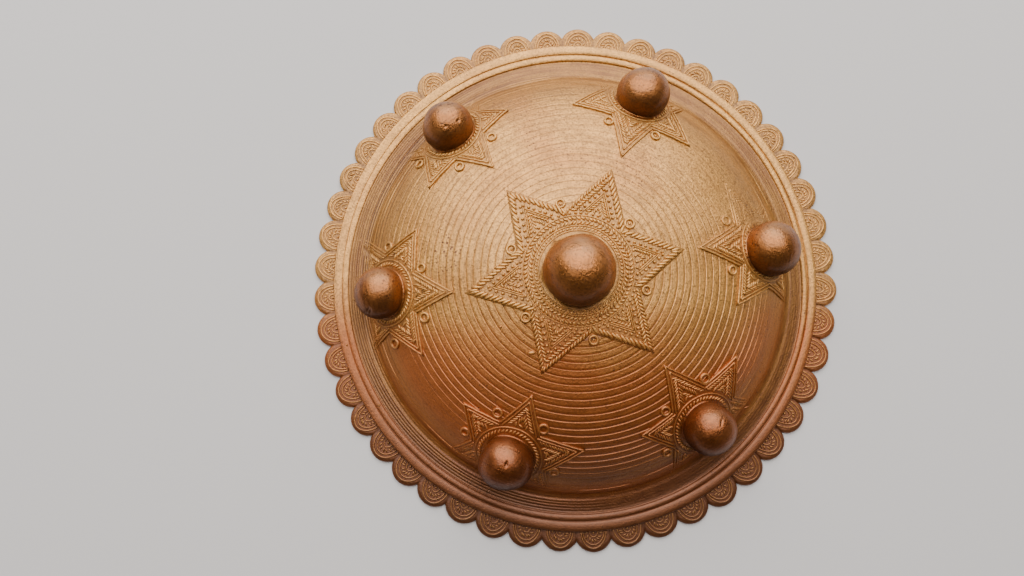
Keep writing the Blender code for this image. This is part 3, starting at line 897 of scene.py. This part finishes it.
for boss, (reach, turn) in enumerate(BOSS_SPOTS):
    draw = np.random.default_rng(300 + boss)
    work = WaxWork()
    corners = star_corners(RING_TIPS[boss], RING_NOTCH_SHARE)
    star_ground(work, corners, RING_HOLE, GROUND_LIFT, GROUND_ROOT)
    for tip, notch, hand in half_arms(corners):
        for inset, thick in RING_THREADS:
            path = edge_path(tip, notch, inset, THREADS_REACH)
            if path is not None:
                path = path + draw.normal(0.0, 0.00006, path.shape)
                work.thread(path, thick, 0.00080, base=GROUND_LIFT - 0.0001)
        for row, inset in enumerate(RING_FILLING):
            path = edge_path(tip, notch, inset, FILLING_REACH)
            if path is not None:
                lean = hand * (0.62 if row % 2 else -0.62)
                work.rope(
                    path, 0.00155, lean, 0.00185, 0.00054, 0.00072, base=GROUND_LIFT,
                    draw=draw)
    work.rope(
        circle(0.0147), 0.00190, 0.80, 0.00155, 0.00064, 0.00085, closed=True,
        base=GROUND_LIFT, draw=draw)
    path = circle(0.0168, seed=400 + boss, wander=0.0001)
    work.thread(path, 0.00046, 0.00062, closed=True, base=GROUND_LIFT)
    for number, (local, out) in enumerate(RING_EYELETS[boss]):
        x, y, _ = polar(out, math.radians(local), 0.0)
        eyelet(work, x, y, draw, dot=(boss == 1 and number == 0))
    spots = np.vstack(work.spots)
    worst, wear = RING_WEAR[boss]
    toward = np.cos(np.arctan2(spots[:, 1], spots[:, 0]) - math.radians(worst))
    worn = wear * np.clip((toward + 0.25) / 0.9, 0.0, 1.0)
    spots[:, 2] *= np.where(spots[:, 2] > 0.0, 1.0 - worn, 1.0)
    crest_and_painted_light = np.concatenate(work.crest_and_painted_light)
    crest_and_painted_light = crest_and_painted_light + (0.74 - crest_and_painted_light) * worn
    spots = drape(spots, face_frame(reach, math.radians(turn)))
    make_piece("ring_star_%d" % (boss + 1), spots, work.faces, crest_and_painted_light, worn_bronze)


# The bosses
# Solid balls cast with the dome, rubbed smooth by handling. They are browner than the face,
# with a painted grey highlight on top and painted shade on the lower side, and they keep a few
# blowholes and tool nicks.
rubbed_bronze = cast_bronze_patinated(
    "bronze_boss_rubbed", tan="#AA682E", brown="#904E22", orange_patina_and_light="#904E22", red="#6A3012",
    wall_tan="#925A28", dirt_and_shade_brown="#2A1006", rubbed="#BC946C",
    smooth=0.22, rough=0.42, metallic=0.80, coat=0.22, polish=0.18, pitted=0.10)
BALL_COLUMNS = 128
BALL_ROOT = 0.0015
BALL_TILTS = np.radians(np.concatenate([np.linspace(1.5, 90.0, 60), np.linspace(92.0, 113.5, 8)]))


def ball(name, place, size, lift, seed, flaws=(), rise=1.0):
    """A boss: an uneven ball, a short neck and a small flared foot."""
    down, side, normal, middle = place
    draw = np.random.default_rng(seed)
    tilt, turn = np.meshgrid(BALL_TILTS, full_turn(BALL_COLUMNS), indexing="ij")
    heading = polar(np.sin(tilt), turn, np.cos(tilt))
    uneven = np.zeros_like(tilt)
    for _ in range(10):
        wave = draw.normal(0.0, 2.2, 3)
        uneven += draw.normal() * np.sin(heading @ wave + draw.uniform(0.0, 2.0 * math.pi))
    radius = size * (1.0 + 0.006 * uneven)
    for flaw_turn, flaw_tilt, length, width, depth, lean in flaws:
        at, up = math.radians(flaw_turn), math.radians(flaw_tilt)
        centre = polar(math.sin(up), at, math.cos(up))
        east = np.array([-math.sin(at), math.cos(at), 0.0])
        north = np.cross(centre, east)
        along = size * (heading @ (math.cos(lean) * east + math.sin(lean) * north))
        across = size * (heading @ (-math.sin(lean) * east + math.cos(lean) * north))
        near = heading @ centre > 0.5
        radius = radius - near * depth * np.exp(-(along / length) ** 2 - (across / width) ** 2)
    spots = heading * radius[..., None] * (1.0, 1.0, rise)
    spots[..., 2] += lift
    facing = heading[..., :1] * down + heading[..., 1:2] * side + heading[..., 2:] * normal
    # Painted light and shade: the value rises on the top and the side toward the light, so the
    # rubbed colour lies there as a painted highlight and the dirt colour below as painted shade
    crest_and_painted_light = np.clip(0.28 + 0.46 * facing[..., 1] + 0.46 * facing[..., 2], 0.0, 1.0)
    # The neck runs straight down to the face and flares where the wax was pressed on
    rim = spots[-1, :, :2]
    rim_reach = np.linalg.norm(rim, axis=1, keepdims=True)
    foot = []
    for grow, level in ((0.0, 0.0007), (0.0001, 0.0005), (0.0004, 0.0003), (0.0005, -BALL_ROOT)):
        ring = rim / rim_reach * (rim_reach + grow)
        foot.append(np.hstack([ring, np.full((BALL_COLUMNS, 1), level)]))
    spots = np.vstack([spots, np.array(foot)])
    rows = len(spots)
    flat_spots = np.vstack([
        spots.reshape(-1, 3), [[0.0, 0.0, lift + size * rise]], [[0.0, 0.0, -BALL_ROOT]]])
    faces = quads(rows, BALL_COLUMNS) + pole_faces(rows, BALL_COLUMNS)
    crest_and_painted_light = np.concatenate([
        crest_and_painted_light.ravel(), np.full(len(foot) * BALL_COLUMNS, 0.7), [crest_and_painted_light[0, 0], 0.3]])
    world = middle + flat_spots @ np.array([down, side, normal])
    return make_piece(name, world, faces, crest_and_painted_light, rubbed_bronze)


# The crown boss sits a millimetre below the middle of its star
down, side, normal, middle = face_frame(0.0, 0.0)
middle = middle + (CROWN_SHIFT[0], CROWN_SHIFT[1] - 0.0010, 0.0)
ball("crown_boss", (down, side, normal, middle), 0.0171, 0.0065, 500)
# Blowholes and nicks, by boss: turn and tilt on the ball, length, width, depth and lean
FLAWS = {
    2: ((202.0, 59.0, 0.0007, 0.0007, 0.0006, 0.0), (165.0, 50.0, 0.0008, 0.0006, 0.0005, 0.5)),
    3: ((89.0, 42.0, 0.0022, 0.0005, 0.0011, 0.6), (96.0, 47.0, 0.0017, 0.0005, 0.0008, 0.7)),
    4: ((180.0, 39.0, 0.0006, 0.0013, 0.0008, 0.0),),
    5: ((150.0, 45.0, 0.0016, 0.0004, 0.0006, 0.9),),
}
# They were set by hand: each differs a little in size, in how far it stands out, in how much
# nearer the crown it sits than the middle of its star, and in how far round
BOSS_SETS = (
    (0.0140, 0.96, 0.0018, -0.0012), (0.0136, 0.96, 0.0023, -0.0009), (0.0131, 0.95, 0.0014, 0.0),
    (0.0132, 0.88, 0.0, 0.0), (0.0134, 0.96, 0.0, 0.0), (0.0130, 1.0, 0.0009, 0.0))
for boss, ((reach, turn), (size, rise, nearer, aside)) in enumerate(zip(BOSS_SPOTS, BOSS_SETS)):
    place = face_frame(reach - nearer, math.radians(turn) + aside / reach)
    ball(
        "ring_boss_%d" % (boss + 1), place, size, 0.0062 * rise, 510 + boss,
        FLAWS.get(boss, ()), rise)


# Casting flaws on the face and the rim
# Four lumps of bronze that filled bubbles in the mould, left as they came.
flaws = WaxWork()
for x, y, turn, length, width, base in (
        (-0.0243, -0.0394, 0.1, 0.0022, 0.0011, 0.0001),
        (-0.0392, -0.0269, 0.0, 0.0007, 0.0007, 0.0),
        (-0.1019, -0.0653, 0.0, 0.0007, 0.0007, 0.0010),
        (-0.1192, -0.0344, 0.0, 0.0006, 0.0006, 0.0013)):
    flaws.grains(x, y, turn, length, width, 0.0008, base)
spots = np.vstack(flaws.spots)
run = np.interp(np.hypot(spots[:, 0], spots[:, 1]), face_radius, face_run)
spots = on_face(run, np.arctan2(spots[:, 1], spots[:, 0]), spots[:, 2])
make_piece("casting_lumps", spots, flaws.faces, np.concatenate(flaws.crest_and_painted_light), worn_bronze)


# The floor, the light and the camera
# A pale matt floor, one broad soft light from the picture's top side, and the camera above.
FLOOR_SIZE = 6.0
floor_mesh = bpy.data.meshes.new("floor")
corner = 0.5 * FLOOR_SIZE
floor_mesh.from_pydata([
    (-corner, -corner, 0.0), (corner, -corner, 0.0), (corner, corner, 0.0),
    (-corner, corner, 0.0)], [], [(0, 1, 2, 3)])
floor = bpy.data.objects.new("floor", floor_mesh)
bpy.context.scene.collection.objects.link(floor)
floor_paint = bpy.data.materials.new("pale_matt_floor")
floor_paint.use_nodes = True
floor_shader = floor_paint.node_tree.nodes["Principled BSDF"]
floor_shader.inputs["Base Color"].default_value = linear("#C9C6C4")
floor_shader.inputs["Roughness"].default_value = 0.9
floor_mesh.materials.append(floor_paint)

panel = bpy.data.lights.new("sky_panel", "AREA")
panel.shape = "RECTANGLE"
panel.size = 2.6
panel.size_y = 2.4
panel.energy = 86.0
panel.color = linear("#FFFCFA")[:3]
sky_panel = bpy.data.objects.new("sky_panel", panel)
sky_panel.location = (-0.12, 0.90, 1.20)
sky_panel.rotation_euler = (-sky_panel.location).to_track_quat("-Z", "Y").to_euler()
bpy.context.scene.collection.objects.link(sky_panel)

world = bpy.data.worlds.new("studio")
world.use_nodes = True
world_tree = world.node_tree
heading = add_node(world_tree, "ShaderNodeTexCoord", output="Generated")
heading = add_node(world_tree, SPLIT, {0: heading}, "Y")
toward_panel = add_node(world_tree, RAMP, {0: heading, 1: -0.9, 2: 0.5})
glow = add_node(
    world_tree, MIX, {0: toward_panel, 6: linear("#6A6866"), 7: linear("#D4D2D4")}, 2,
    data_type="RGBA")
world_tree.links.new(glow, world_tree.nodes["Background"].inputs["Color"])
world_tree.nodes["Background"].inputs["Strength"].default_value = 0.18
bpy.context.scene.world = world

camera_data = bpy.data.cameras.new("camera")
camera_data.sensor_width = 36.0
camera_data.lens = 27.18
camera_data.clip_start = 0.01
camera = bpy.data.objects.new("camera", camera_data)
tilt = Matrix.Rotation(math.radians(6.47), 4, "X") @ Matrix.Rotation(math.radians(-0.36), 4, "Y")
camera.matrix_world = Matrix.Translation((-0.0360, -0.0502, 0.4079)) @ tilt
bpy.context.scene.collection.objects.link(camera)
bpy.context.scene.camera = camera
